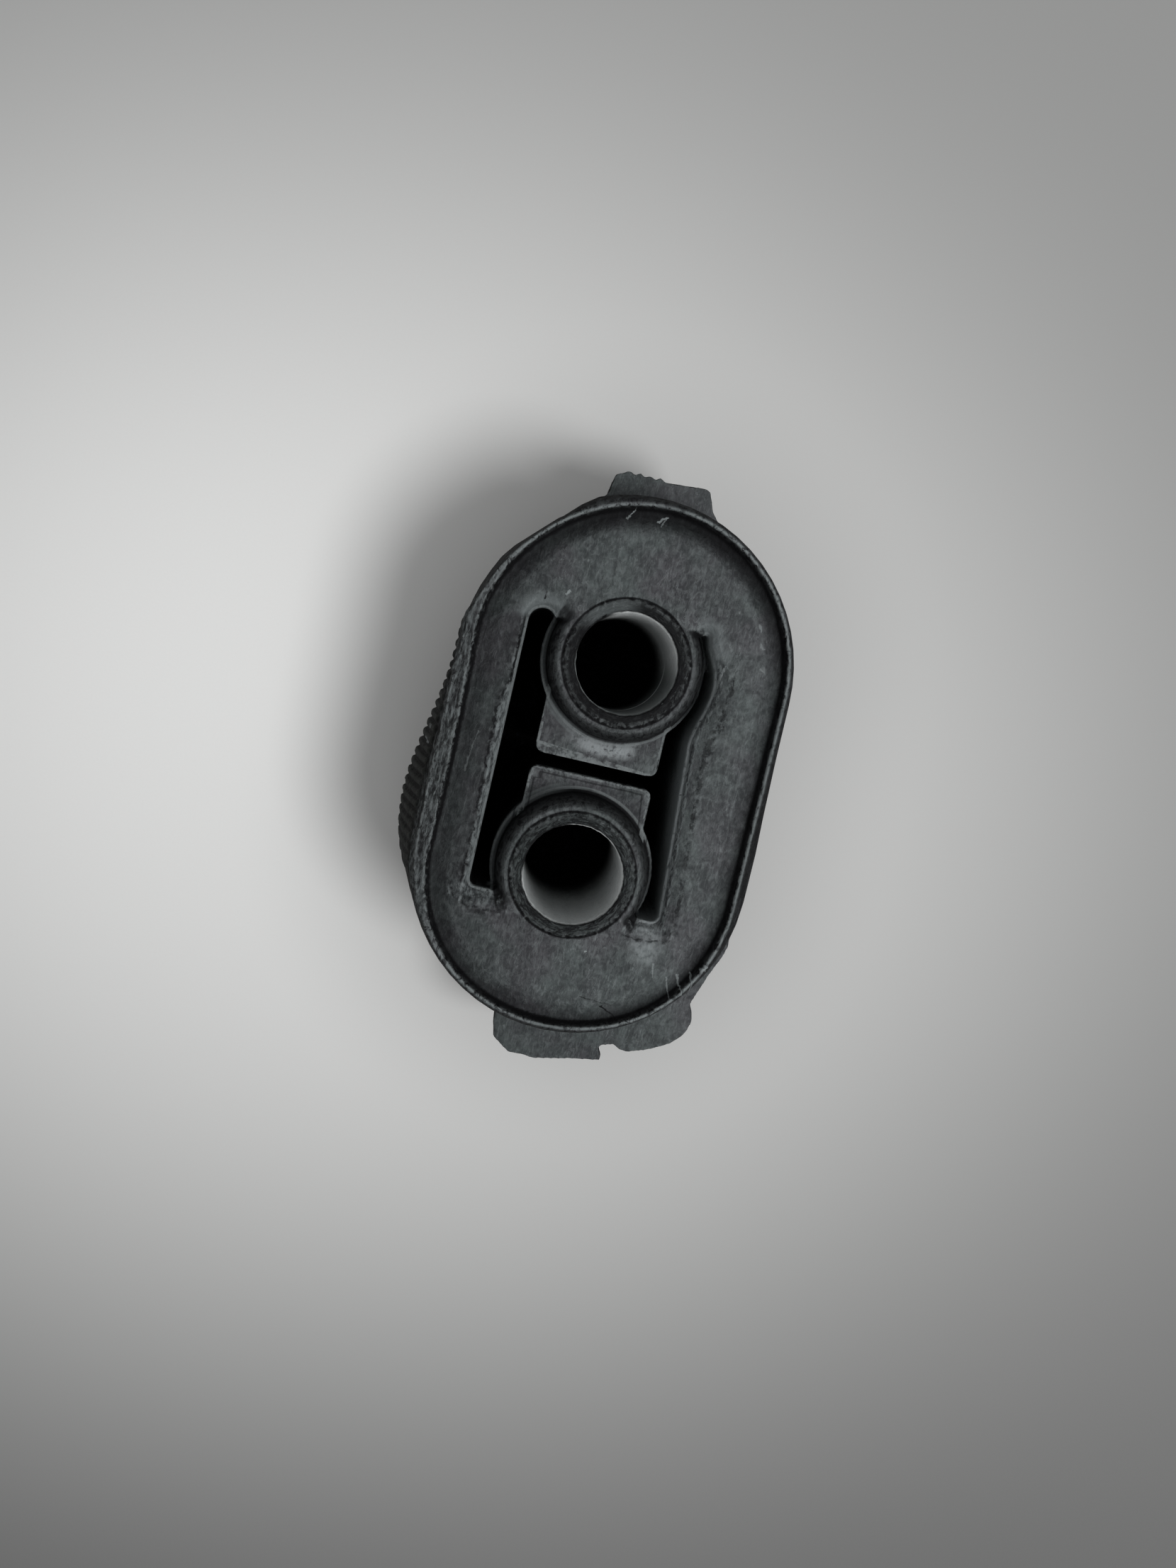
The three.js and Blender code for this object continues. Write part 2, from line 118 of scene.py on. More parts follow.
def vectorCalc(tree, operation, a, b=None, scale=None):
    node = addNode(tree, "ShaderNodeVectorMath", {"operation": operation})
    setInput(tree, node.inputs[0], a)
    setInput(tree, node.inputs[1], b)
    if scale is not None:
        setInput(tree, node.inputs["Scale"], scale)
    isPlain = operation in ("DOT_PRODUCT", "LENGTH", "DISTANCE")
    return node.outputs["Value" if isPlain else "Vector"]


def ramp(tree, value, low, high, fromValue=0.0, toValue=1.0):
    # a soft step from one value to another
    node = addNode(tree, "ShaderNodeMapRange", {"interpolation_type": "SMOOTHSTEP"})
    entries = {"Value": value, "From Min": low, "From Max": high, "To Min": fromValue, "To Max": toValue}
    for name, entry in entries.items():
        setInput(tree, node.inputs[name], entry)
    return node.outputs["Result"]


def blend(tree, factor, a, b):
    node = addNode(tree, "ShaderNodeMix", {"data_type": "RGBA"})
    setInput(tree, node.inputs["Factor"], factor)
    setInput(tree, node.inputs["A"], a)
    setInput(tree, node.inputs["B"], b)
    return node.outputs["Result"]


def cloud(tree, place, scale, detail=4.0, roughness=0.55, distortion=0.0):
    node = addNode(tree, "ShaderNodeTexNoise", {"noise_dimensions": "3D"})
    entries = {"Vector": place, "Scale": scale, "Detail": detail}
    entries.update({"Roughness": roughness, "Distortion": distortion})
    for name, entry in entries.items():
        setInput(tree, node.inputs[name], entry)
    return node.outputs["Fac"]


def stretched(tree, place, factors, turn=0.0):
    node = addNode(tree, "ShaderNodeMapping")
    setInput(tree, node.inputs["Vector"], place)
    node.inputs["Rotation"].default_value = (0, 0, math.radians(turn))
    node.inputs["Scale"].default_value = factors
    return node.outputs["Vector"]


def drawingPlace(tree):
    # the place on the object, in drawing millimetres
    node = addNode(tree, "ShaderNodeMapping")
    setInput(tree, node.inputs["Vector"], addNode(tree, "ShaderNodeTexCoord").outputs["Object"])
    node.inputs["Scale"].default_value = (1 / mm, 1 / mm, 1 / mm)
    node.inputs["Location"].default_value = (*drawingShift, 0)
    return node.outputs["Vector"]


def giveBump(tree, shader, height, strength, distance):
    bump = addNode(tree, "ShaderNodeBump", Height=height)
    bump.inputs["Strength"].default_value = strength
    bump.inputs["Distance"].default_value = distance * mm
    setInput(tree, shader.inputs["Normal"], bump.outputs["Normal"])


def startGroup(name, inputs, outputs):
    tree = bpy.data.node_groups.new(name, "ShaderNodeTree")
    for socketName, kind, value in inputs:
        socket = tree.interface.new_socket(socketName, in_out="INPUT", socket_type=kind)
        if value is not None:
            socket.default_value = value
    for socketName, kind in outputs:
        tree.interface.new_socket(socketName, in_out="OUTPUT", socket_type=kind)
    entry = tree.nodes.new("NodeGroupInput")
    leave = tree.nodes.new("NodeGroupOutput")
    return tree, entry.outputs, leave.inputs


def useGroup(tree, group, **inputs):
    node = tree.nodes.new("ShaderNodeGroup")
    node.node_tree = group
    for name, value in inputs.items():
        setInput(tree, node.inputs[name], value)
    return node.outputs


def colour(red, green, blue):
    # a screen colour of 0 to 255 as a linear one
    def linear(value):
        value = value / 255
        return value / 12.92 if value <= 0.04045 else ((value + 0.055) / 1.055) ** 2.4
    return (linear(red), linear(green), linear(blue), 1.0)


cameraView = {
    "place": (-12.032, 12.201, 173.988),  # millimetres from the model's origin
    "turn": (-5.878, -3.068, 13.228),  # degrees
    "lens": 27.03,
    "sensor": 36.0,
    "clipStart": 0.002,
    "clipEnd": 20,
}


def makeCamera():
    clearSelection()
    bpy.ops.object.camera_add(
        location=[value * mm for value in cameraView["place"]],
        rotation=[math.radians(value) for value in cameraView["turn"]],
    )
    camera = bpy.context.object
    camera.name = "viewCamera"
    camera.data.lens = cameraView["lens"]
    camera.data.sensor_width = cameraView["sensor"]
    camera.data.clip_start = cameraView["clipStart"]
    camera.data.clip_end = cameraView["clipEnd"]
    bpy.context.scene.camera = camera
    print("camera set")


floorLook = {
    "size": 4.0,
    "bright": 0.767,  # tones of the pool of light on the table, as plain shares of white
    "dim": 0.194,
    "poolPlace": (-44.0, -22.3, 0),  # middle of the pool, in drawing millimetres
    "poolReach": (113.2, 93.3, 100),
    "poolTurn": 6.4,
    "poolFall": 2.44,
    "poolTilt": 0.00337,  # how much brighter it gets towards the top, per millimetre
    "tiltLow": 0.4,
    "tiltHigh": 1.5,
    "tint": (1.0, 1.005, 0.995, 1.0),
    "grain": (0.3, 0.3, 0.3, 1),
    "grainShare": 0.06,
    "shade": (2, 2, 2),  # under the part, where no light comes
    "shadeSpeck": (34, 37, 44),
    "shadeInset": (3.5, 1.5),  # how far inside the rim the shade is full, and where it ends
    "nearShade": 0.19,  # how much less room light the table gets close to the part
    "nearReach": (1.0, 30.0),
    "roughness": 0.75,
    "specular": 0.1,
    "bump": 0.05,
    "bumpReach": 0.1,  # millimetres
}
black = (0, 0, 0, 1)


def makeFloor():
    clearSelection()
    bpy.ops.mesh.primitive_plane_add(size=floorLook["size"], location=(0, 0, 0))
    floor = bpy.context.object
    floor.name = "floor"
    material = bpy.data.materials.new("paleTable")
    material.use_nodes = True
    tree = material.node_tree
    shader = tree.nodes["Principled BSDF"]
    spot = drawingPlace(tree)
    # the pool of light, bright in its middle and dim far out
    pool = addNode(tree, "ShaderNodeMapping", {"vector_type": "TEXTURE"})
    setInput(tree, pool.inputs["Vector"], spot)
    pool.inputs["Location"].default_value = floorLook["poolPlace"]
    pool.inputs["Rotation"].default_value = (0, 0, math.radians(floorLook["poolTurn"]))
    pool.inputs["Scale"].default_value = floorLook["poolReach"]
    away = vectorCalc(tree, "LENGTH", pool.outputs["Vector"])
    fall = calc(tree, "POWER", away, floorLook["poolFall"])
    fall = calc(tree, "EXPONENT", calc(tree, "MULTIPLY", fall, -1.0))
    level = calc(tree, "MULTIPLY_ADD", fall, floorLook["bright"] - floorLook["dim"], floorLook["dim"])
    across = addNode(tree, "ShaderNodeSeparateXYZ", Vector=spot)
    tilt = calc(tree, "MULTIPLY_ADD", across.outputs["Y"], floorLook["poolTilt"], 1.0)
    tilt = calc(tree, "MINIMUM", calc(tree, "MAXIMUM", tilt, floorLook["tiltLow"]), floorLook["tiltHigh"])
    level = calc(tree, "MULTIPLY", level, tilt)
    tone = blend(tree, level, black, floorLook["tint"])
    grain = cloud(tree, spot, 3.0, 3.0)
    tone = blend(tree, calc(tree, "MULTIPLY", grain, floorLook["grainShare"]), tone, floorLook["grain"])
    # the hidden patch under the part, and the dimmer table round it
    up = calc(tree, "MINIMUM", calc(tree, "MAXIMUM", across.outputs["Y"], rimEnds[0]), rimEnds[1])
    gap = calc(tree, "SUBTRACT", across.outputs["Y"], up)
    side = calc(tree, "SUBTRACT", across.outputs["X"], rimMiddle)
    out = calc(tree, "ADD", calc(tree, "MULTIPLY", gap, gap), calc(tree, "MULTIPLY", side, side))
    out = calc(tree, "SQRT", out)
    shadeFull, shadeEnd = floorLook["shadeInset"]
    patch = ramp(tree, out, rimRadius - shadeFull, rimRadius - shadeEnd, 1.0, 0.0)
    nearStart, nearEnd = floorLook["nearReach"]
    near = ramp(tree, out, rimRadius + nearStart, rimRadius + nearEnd, floorLook["nearShade"], 0.0)
    tone = blend(tree, near, tone, black)
    specks = ramp(tree, cloud(tree, spot, 0.9, 5.0, 0.7), 0.52, 0.75)
    shade = blend(tree, specks, colour(*floorLook["shade"]), colour(*floorLook["shadeSpeck"]))
    tone = blend(tree, patch, tone, shade)
    setInput(tree, shader.inputs["Base Color"], tone)
    shader.inputs["Roughness"].default_value = floorLook["roughness"]
    shader.inputs["Specular IOR Level"].default_value = floorLook["specular"]
    giveBump(tree, shader, grain, floorLook["bump"], floorLook["bumpReach"])
    floor.data.materials.append(material)
    print("floor set")


lighting = {
    "skyStrength": 0.5,
    "skyShown": (0.2, 0.2, 0.2, 1.0),  # what the camera sees past the table
    "keyPlace": (274, -105, 560),  # millimetres
    "keyAim": (0, 0, 10),
    "keySize": 230,
    "keyPower": 2.5,
}


def makeLights():
    world = bpy.data.worlds.new("softRoom")
    bpy.context.scene.world = world
    world.use_nodes = True
    tree = world.node_tree
    sky = tree.nodes["Background"]
    sky.inputs["Color"].default_value = (1, 1, 1, 1)
    sky.inputs["Strength"].default_value = lighting["skyStrength"]
    shown = addNode(tree, "ShaderNodeBackground")
    shown.inputs["Color"].default_value = lighting["skyShown"]
    pick = addNode(tree, "ShaderNodeMixShader")
    rays = addNode(tree, "ShaderNodeLightPath").outputs
    bent = calc(tree, "MAXIMUM", rays["Is Glossy Ray"], rays["Is Transmission Ray"])
    seen = calc(tree, "MAXIMUM", rays["Is Camera Ray"], bent)
    tree.links.new(seen, pick.inputs[0])
    tree.links.new(sky.outputs[0], pick.inputs[1])
    tree.links.new(shown.outputs[0], pick.inputs[2])
    tree.links.new(pick.outputs[0], tree.nodes["World Output"].inputs["Surface"])
    clearSelection()
    bpy.ops.object.light_add(type="AREA", location=[value * mm for value in lighting["keyPlace"]])
    key = bpy.context.object
    key.name = "softKey"
    key.data.shape = "DISK"
    key.data.size = lighting["keySize"] * mm
    key.data.energy = lighting["keyPower"]
    bpy.context.scene.view_settings.view_transform = "Standard"
    aim = Vector([value * mm for value in lighting["keyAim"]]) - key.location
    key.rotation_euler = aim.to_track_quat("-Z", "Y").to_euler()
    print("light set")


rubberBody = {
    "voxel": 0.2,  # millimetres
    "softening": 2,
    "faces": 194000,
    "sharpBend": 0.9,  # a bend of the surface that counts as a full edge or hollow, per millimetre
}

# how far each kind of wear lifts or sinks the rubber, and how coarse it is, in millimetres
wear = {
    "lipWear": (0.36, 0.9),
    "ringWear": (0.24, 0.8),
    "tornWear": (0.7, 1.3),
    "edgeTear": (0.4, 1.1),
    "ribs": (0.14, 1.2),
    "tab": (0.14, 1.5),
}

lipShape = {
    "inset": 0.65,
    "insetLeft": 0.15,
    "shoulder": 0.9,
    "shoulderAngle": 138.0,
    "shoulderSpread": 48.0,
    "right": 0.2,
    "foot": 0.3,
    "thin": 0.25,
    "broad": 1.85,
    "centre": -3.5,
    "spread": 17.0,
}


def softStep(value, low, high):
    share = np.clip((value - low) / (high - low), 0, 1)
    return share * share * (3 - 2 * share)


def between(value, low, high, soft):
    return softStep(value, low - soft, low + soft) * (1 - softStep(value, high - soft, high + soft))


def vertexArray(mesh, kind):
    values = np.zeros(len(mesh.vertices) * 3, np.float32)
    mesh.vertices.foreach_get(kind, values)
    return values.reshape(-1, 3).astype(float)


def drawnPlaces(mesh):
    places = vertexArray(mesh, "co") / mm
    return places[:, 0] + drawingShift[0], places[:, 1] + drawingShift[1], places[:, 2]


def rimPlace(x, y):
    # how far a place lies in from the rim, how far past the lip, and how wide the lip is there
    along = np.clip(y, *rimEnds)
    aside, beyond = x - rimMiddle, y - along
    reach = np.maximum(np.hypot(aside, beyond), 1e-3)
    outX, outY = aside / reach, beyond / reach
    rimY = along + outY * rimRadius
    beside = np.exp(-((rimY - lipShape["centre"]) / lipShape["spread"]) ** 2) ** 0.7
    beside = beside * np.clip(-outX, 0, 1) ** 3
    facing = np.degrees(np.arctan2(outY, outX)) % 360
    inset = lipShape["inset"] + lipShape["shoulder"] * np.exp(
        -((facing - lipShape["shoulderAngle"]) / lipShape["shoulderSpread"]) ** 2)
    inset = inset + lipShape["right"] * np.clip(outX, 0, 1) ** 6 + lipShape["foot"] * np.clip(-outY, 0, 1) ** 8
    inset = inset + (lipShape["insetLeft"] - inset) * beside
    width = lipShape["thin"] + (lipShape["broad"] - lipShape["thin"]) * beside
    depth = rimRadius - reach
    return depth, depth - inset - width, width


def turnRun(centre, radius, start, stop):
    angles = np.radians(np.linspace(start, stop, 9))
    return [(centre[0] + radius * np.cos(a), centre[1] + radius * np.sin(a)) for a in angles]


def curveRun(a, b, c, d):
    shares = np.linspace(0, 1, 9)
    return [tuple((1 - t) ** 3 * np.array(a) + 3 * t * (1 - t) ** 2 * np.array(b)
                  + 3 * t * t * (1 - t) * np.array(c) + t ** 3 * np.array(d)) for t in shares]


# the edges of the slots towards the arms, as seen from the front
leftBrink = [(-9.35, -17.9)]
leftBrink += turnRun((-11.6, -16.9), 1.0, 270, 180)
leftBrink += turnRun((-10.9, 15.65), 1.7, 180, 20)
rightBrink = [(8.95, -17.5)]
rightBrink += turnRun((10.4, -16.5), 1.0, -90, 0)
rightBrink += curveRun((9.9, 5), (10.0, 8), (11.3, 9.5), (11.3, 12.5))
rightBrink += curveRun((11.3, 12.5), (11.3, 15), (9.5, 16.4), (9.22, 18.4))
rightBrink += turnRun((8.97, 18.41), 0.25, 0, 160)


farOff = 9.0  # a distance too large to matter, in millimetres


def runReach(x, y, run):
    # distance to a run of straight pieces
    best = np.full(len(x), np.inf)
    for (ax, ay), (bx, by) in zip(run[:-1], run[1:]):
        dx, dy = bx - ax, by - ay
        share = np.clip(((x - ax) * dx + (y - ay) * dy) / max(dx * dx + dy * dy, 1e-9), 0, 1)
        best = np.minimum(best, np.hypot(x - ax - share * dx, y - ay - share * dy))
    return best


def bodyMasks(mesh):
    # where the rubber is worn, torn or dirty, and where the slots get painted shade, by place on the part
    x, y, z = drawnPlaces(mesh)
    depth, pastLip, lipWidth = rimPlace(x, y)
    fromUpper = np.hypot(x - upperBore[0], y - upperBore[1])
    fromLower = np.hypot(x - lowerBore[0], y - lowerBore[1])
    nearBore = np.minimum(fromUpper, fromLower)
    slot = np.minimum(runReach(x, y, leftBrink), runReach(x, y, rightBrink))
    slot = np.where(nearBore < collarRadius, np.maximum(slot, 0.6 + 2 * (collarRadius - nearBore)), slot)
    blockEdge = np.minimum(np.abs(x - blockSides[0]), np.abs(x - blockSides[1]))
    blockEdge = np.minimum(blockEdge, np.abs(np.abs(y - gapMiddle) - gapHalf))
    masks = {
        "pastLip": pastLip,
        "lipWidth": lipWidth,
        "slot": np.minimum(slot, farOff),
        "blockEdge": np.where(between(z, 24.6, 27.2, 0.2) > 0.5, blockEdge, farOff),
    }
    leftFront = softStep(z, 28.5, 30.5) * softStep(-x, 12, 16)
    masks["lipWear"] = leftFront * between(y, -22, 21, 3) * between(depth, -0.4, 2.2, 0.3)
    masks["ringWear"] = softStep(z, 30, 31) * between(nearBore, 6.1, 7.9, 0.15)
    # painted shade for the dark inside of the slots, below the face and away from the bores
    belowFace = softStep(depth, 2.2, 3.2) * (1 - softStep(z, 23.5, 26.5))
    masks["inside"] = belowFace * softStep(nearBore, 6.6, 7.2)
    lowEnds = between(slot, 0.5, 2.9, 0.3) * softStep(-y, 17.2, 18.2)
    masks["tornWear"] = softStep(z, 28, 29.5) * lowEnds
    brink = softStep(z, 29, 30.5) * between(slot, 0.3, 1.5, 0.25)
    masks["edgeTear"] = brink * (1 - softStep(y, 10, 14)) * between(x, -16, -11, 1)
    ribbed = softStep(-x, 13, 16) * between(y, -21, 15, 2) * between(z, 1.5, 30.4, 0.3)
    masks["ribs"] = ribbed * softStep(-depth, -0.1, 0.2)
    atEnds = np.maximum(softStep(y, 26, 28), softStep(-y, 14, 18))
    masks["tab"] = between(z, 12, 20, 0.6) * softStep(-depth, 0.8, 1.6) * atEnds
    return masks


def fillGroup(piece, name, weights):
    group = piece.vertex_groups.new(name=name)
    for index in np.nonzero(weights > 0.01)[0]:
        group.add([int(index)], float(weights[index]), "REPLACE")


def roughen(piece, group, reach, scale):
    texture = bpy.data.textures.new(group, type="CLOUDS")
    texture.noise_scale = scale * mm
    texture.noise_depth = 3
    applyModifier(
        piece, "DISPLACE", texture=texture, texture_coords="LOCAL", vertex_group=group,
        strength=reach * mm, mid_level=0.5,
    )


def makeRubberBody():
    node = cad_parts["hanger_rubber"]
    body = bpy.data.objects.new("rubberBody", node.data.copy())
    bpy.context.scene.collection.objects.link(body)
    body.data.materials.clear()
    pickOnly(body)
    bpy.ops.object.mode_set(mode="EDIT")
    bpy.ops.mesh.select_all(action="SELECT")
    bpy.ops.mesh.remove_doubles(threshold=0.000002)
    bpy.ops.object.mode_set(mode="OBJECT")
    applyModifier(body, "REMESH", mode="VOXEL", voxel_size=rubberBody["voxel"] * mm, adaptivity=0.0)
    print("remeshed", len(body.data.vertices))
    applyModifier(body, "SMOOTH", factor=0.5, iterations=rubberBody["softening"])
    masks = bodyMasks(body.data)
    for name in wear:
        fillGroup(body, name, masks[name])
    for name, (reach, scale) in wear.items():
        roughen(body, name, reach, scale)
    triangles = sum(len(face.vertices) - 2 for face in body.data.polygons)
    share = min(1.0, rubberBody["faces"] / triangles)
    applyModifier(body, "DECIMATE", ratio=share, use_collapse_triangulate=True)
    body.vertex_groups.clear()
    keepInside(body)
    pickOnly(body)
    bpy.ops.object.shade_smooth()
    markSurface(body)
    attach(body, "root")
    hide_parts("hanger_rubber")
    print("rubber body made", len(body.data.polygons))
    return body


def keepInside(body):
    # the worn surface stays in the box of the clean one
    places = vertexArray(body.data, "co")
    places = np.clip(places, np.array(cadLow) + 1e-6, np.array(cadHigh) - 1e-6)
    body.data.vertices.foreach_set("co", places.astype(np.float32).ravel())
    body.data.update()


def markSurface(body):
    # bare edges, hollows that get painted shade, and other places the material needs, kept as attributes
    mesh = body.data
    count = len(mesh.vertices)
    places = vertexArray(mesh, "co") / mm
    normals = vertexArray(mesh, "normal")
    ends = np.zeros(len(mesh.edges) * 2, np.int32)
    mesh.edges.foreach_get("vertices", ends)
    ends = ends.reshape(-1, 2)
    one, two = ends[:, 0], ends[:, 1]
    degree = np.bincount(one, minlength=count) + np.bincount(two, minlength=count)

    def spreadOver(values):
        total = np.bincount(one, values[two], count) + np.bincount(two, values[one], count)
        return total / np.maximum(degree, 1)

    step = places[two] - places[one]
    length = np.maximum(np.linalg.norm(step, axis=1), 1e-4)
    bendOne = (step * normals[one]).sum(1) / length ** 2
    bendTwo = (-step * normals[two]).sum(1) / length ** 2
    bend = -(np.bincount(one, bendOne, count) + np.bincount(two, bendTwo, count)) / np.maximum(degree, 1)
    for _ in range(2):
        bend = 0.5 * bend + 0.5 * spreadOver(bend)
    masks = bodyMasks(mesh)
    layers = {
        "edgeWear": np.clip(bend / rubberBody["sharpBend"], 0, 1),
        "hollow": np.clip(-bend / rubberBody["sharpBend"], 0, 1),
        "upward": np.clip(normals[:, 2], 0, 1),
    }
    for name in ("pastLip", "lipWidth", "slot", "blockEdge", "inside", "ribs"):
        layers[name] = masks[name]
    for name, values in layers.items():
        kept = mesh.attributes.new(name, "FLOAT", "POINT")
        kept.data.foreach_set("value", values.astype(np.float32))


rubberLook = {
    "dust": (76, 82, 82),
    "dustWarm": (71, 71, 74),
    "dustPale": (124, 130, 131),
    "bare": (45, 47, 49),
    # near black: grime, and the painted shade of the trough, the ring cleft, the hollows, the slot insides and
    # the left side
    "grimeAndShade": (12, 12, 14),
    "flank": (33, 34, 35),
    "rib": (9, 10, 9),
    "ribCrest": (34, 36, 34),
    # rubbed rubber, and the painted highlight on the patch below the upper collar
    "rubbed": (152, 158, 160),
    # the bore wall tones are pale dust with painted light
    "bore": (118, 123, 123),
    "boreDeep": (226, 230, 230),
    # worn rubber, and the painted light on the right slot wall
    "worn": (104, 110, 111),
    "roughness": 0.8,
    "roughnessSpread": 0.12,
    "specular": 0.12,
    "bump": 0.7,
    "bumpReach": 0.2,  # millimetres
}

# how much each layer hides of what lies under it
cover = {
    "rightSide": 0.1, "streaks": 0.3, "paleFine": 0.16, "darkFine": 0.18, "hairs": 0.5,
    "leftSideShade": 0.34, "upperTab": 0.08, "lowerLeftShade": 0.2, "outside": 0.8,
    "armFade": 0.3, "worn": 0.85, "funnel": 0.34, "tornLine": 0.75, "brink": 0.85,
    "shoulderFoot": 0.88, "shoulder": 0.9, "ledge": 0.55, "collarRim": 0.6,
    "ringPatch": 0.6, "ringStreaks": 0.8, "ring": 0.9, "ringShadeLine": 0.9, "lipDirt": 0.8, "lip": 0.9,
    "ribLine": 0.9, "ribs": 0.95, "hollow": 0.8, "inside": 0.75, "litSlotWall": 0.9,
    "rubbedEdge": 0.6, "blockEdge": 0.7, "blockLine": 0.6, "rubbedHighlightPatch": 0.75,
    "boreStreaks": 0.25, "boreWall": 0.95,
}


def attribute(tree, name):
    node = tree.nodes.new("ShaderNodeAttribute")
    node.attribute_name = name
    return node.outputs["Fac"]


def product(tree, *values):
    result = values[0]
    for value in values[1:]:
        result = calc(tree, "MULTIPLY", result, value)
    return result


def most(tree, *values):
    result = values[0]
    for value in values[1:]:
        result = calc(tree, "MAXIMUM", result, value)
    return result


def flip(tree, value):
    return calc(tree, "SUBTRACT", 1.0, value)


def band(tree, value, low, high, soft):
    rise = ramp(tree, value, low - soft, low + soft)
    return product(tree, rise, ramp(tree, value, high - soft, high + soft, 1.0, 0.0))


def layer(tree, tone, mask, over, strength=None):
    if strength is not None:
        mask = calc(tree, "MULTIPLY", mask, strength)
    return blend(tree, mask, tone, over)


def makeDustGroup():
    tree, entry, leave = startGroup(
        "rubberDust",
        [("Place", "NodeSocketVector", None)],
        [("Patches", "NodeSocketFloat"), ("Fine", "NodeSocketFloat"), ("Streaks", "NodeSocketFloat"),
         ("Hairs", "NodeSocketFloat"), ("Hue", "NodeSocketFloat")],
    )
    place = entry["Place"]
    broad = cloud(tree, place, 0.25, 6.0, 0.62, 0.8)
    middle = cloud(tree, place, 1.1, 6.0, 0.7, 0.4)
    patches = calc(tree, "ADD", calc(tree, "MULTIPLY", broad, 0.5), calc(tree, "MULTIPLY", middle, 0.5))
    tree.links.new(ramp(tree, patches, 0.4, 0.6), leave["Patches"])
    fine = cloud(tree, stretched(tree, place, (1.3, 0.75, 1.0), 13), 1.3, 6.0, 0.66, 0.8)
    tree.links.new(ramp(tree, fine, 0.3, 0.7), leave["Fine"])
    drawn = stretched(tree, place, (2.6, 0.4, 1.0), 13)
    streaks = cloud(tree, drawn, 1.0, 6.0, 0.7, 1.5)
    tree.links.new(ramp(tree, streaks, 0.5, 0.7), leave["Streaks"])
    # short scratches where a stretched cloud crosses its middle
    slanted = stretched(tree, place, (1.6, 0.35, 1.0), -24)
    edge = calc(tree, "ABSOLUTE", calc(tree, "SUBTRACT", cloud(tree, slanted, 0.8, 4.0, 0.6, 1.0), 0.5))
    thin = ramp(tree, edge, 0.0, 0.012, 1.0, 0.0)
    hairs = product(tree, thin, ramp(tree, cloud(tree, place, 0.55, 2.0), 0.5, 0.62))
    tree.links.new(hairs, leave["Hairs"])
    tree.links.new(ramp(tree, cloud(tree, place, 0.13, 2.0, 0.5), 0.38, 0.62), leave["Hue"])
    return tree


def makeTurnGroup():
    # marks that run round a bore: distance from its middle, and streaks drawn out along the turn
    tree, entry, leave = startGroup(
        "turnMarks",
        [("Place", "NodeSocketVector", None), ("Centre", "NodeSocketVector", None)],
        [("Reach", "NodeSocketFloat"), ("Streaks", "NodeSocketFloat"), ("Flakes", "NodeSocketFloat")],
    )
    away = vectorCalc(tree, "SUBTRACT", entry["Place"], entry["Centre"])
    flat = vectorCalc(tree, "MULTIPLY", away, (1, 1, 0))
    reach = vectorCalc(tree, "LENGTH", flat)
    around = vectorCalc(tree, "SCALE", vectorCalc(tree, "NORMALIZE", flat), scale=1.7)
    lifted = addNode(tree, "ShaderNodeCombineXYZ", Z=calc(tree, "MULTIPLY", reach, 3.0)).outputs["Vector"]
    turned = vectorCalc(tree, "ADD", around, lifted)
    tree.links.new(reach, leave["Reach"])
    tree.links.new(cloud(tree, turned, 1.6, 6.0, 0.72, 0.3), leave["Streaks"])
    finer = vectorCalc(tree, "ADD", vectorCalc(tree, "SCALE", around, scale=3.0), lifted)
    flakes = cloud(tree, finer, 0.9, 6.0, 0.75, 1.6)
    tree.links.new(ramp(tree, flakes, 0.42, 0.6), leave["Flakes"])
    return tree


def makeMarkGroup():
    # a short straight mark between two places
    tree, entry, leave = startGroup(
        "shortMark",
        [("Place", "NodeSocketVector", None), ("Start", "NodeSocketVector", None),
         ("End", "NodeSocketVector", None), ("Width", "NodeSocketFloat", 0.2)],
        [("Mask", "NodeSocketFloat")],
    )
    away = vectorCalc(tree, "SUBTRACT", entry["Place"], entry["Start"])
    run = vectorCalc(tree, "SUBTRACT", entry["End"], entry["Start"])
    onRun = vectorCalc(tree, "DOT_PRODUCT", away, run)
    share = calc(tree, "DIVIDE", onRun, vectorCalc(tree, "DOT_PRODUCT", run, run), clamp=True)
    gap = vectorCalc(tree, "DISTANCE", away, vectorCalc(tree, "SCALE", run, scale=share))
    # the mark thins to half its width at its end
    thin = calc(tree, "MULTIPLY", entry["Width"], flip(tree, calc(tree, "MULTIPLY", share, 0.5)))
    tree.links.new(ramp(tree, gap, calc(tree, "MULTIPLY", thin, 0.35), thin, 1.0, 0.0), leave["Mask"])
    return tree


# marks on the front: start, end, width and strength, in drawing millimetres
paleMarks = [
    (-3.7, 30.0, -3.0, 31.2, 0.16, 0.8),
    (0.0, 30.4, 1.0, 31.1, 0.25, 0.9),
    (0.4, 29.8, 0.9, 30.9, 0.14, 0.8),
    (11.5, 11.6, 11.9, 15.4, 0.3, 0.6),
    (15.0, 21.1, 15.3, 20.6, 0.3, 0.6),
    (15.6, 18.9, 16.1, 18.5, 0.25, 0.5),
    (16.2, 16.2, 16.9, 15.8, 0.2, 0.4),
    (-8.8, 19.5, -8.5, 19.9, 0.28, 1.0),
    (3.3, -22.5, 3.45, -22.4, 0.2, 1.0),
    (17.9, -21.8, 18.6, -21.2, 0.22, 0.9),
    (18.2, -21.1, 18.5, -21.9, 0.12, 0.8),
    (14.0, -23.6, 14.9, -26.1, 0.16, 0.6),
    (15.4, -23.2, 16.3, -25.4, 0.2, 0.7),
    (16.9, -22.6, 17.4, -24.9, 0.16, 0.6),
    (12.0, -22.4, 12.3, -24.0, 0.14, 0.7),
    (-16.1, -4.0, -15.5, 1.0, 0.14, 0.35),
]
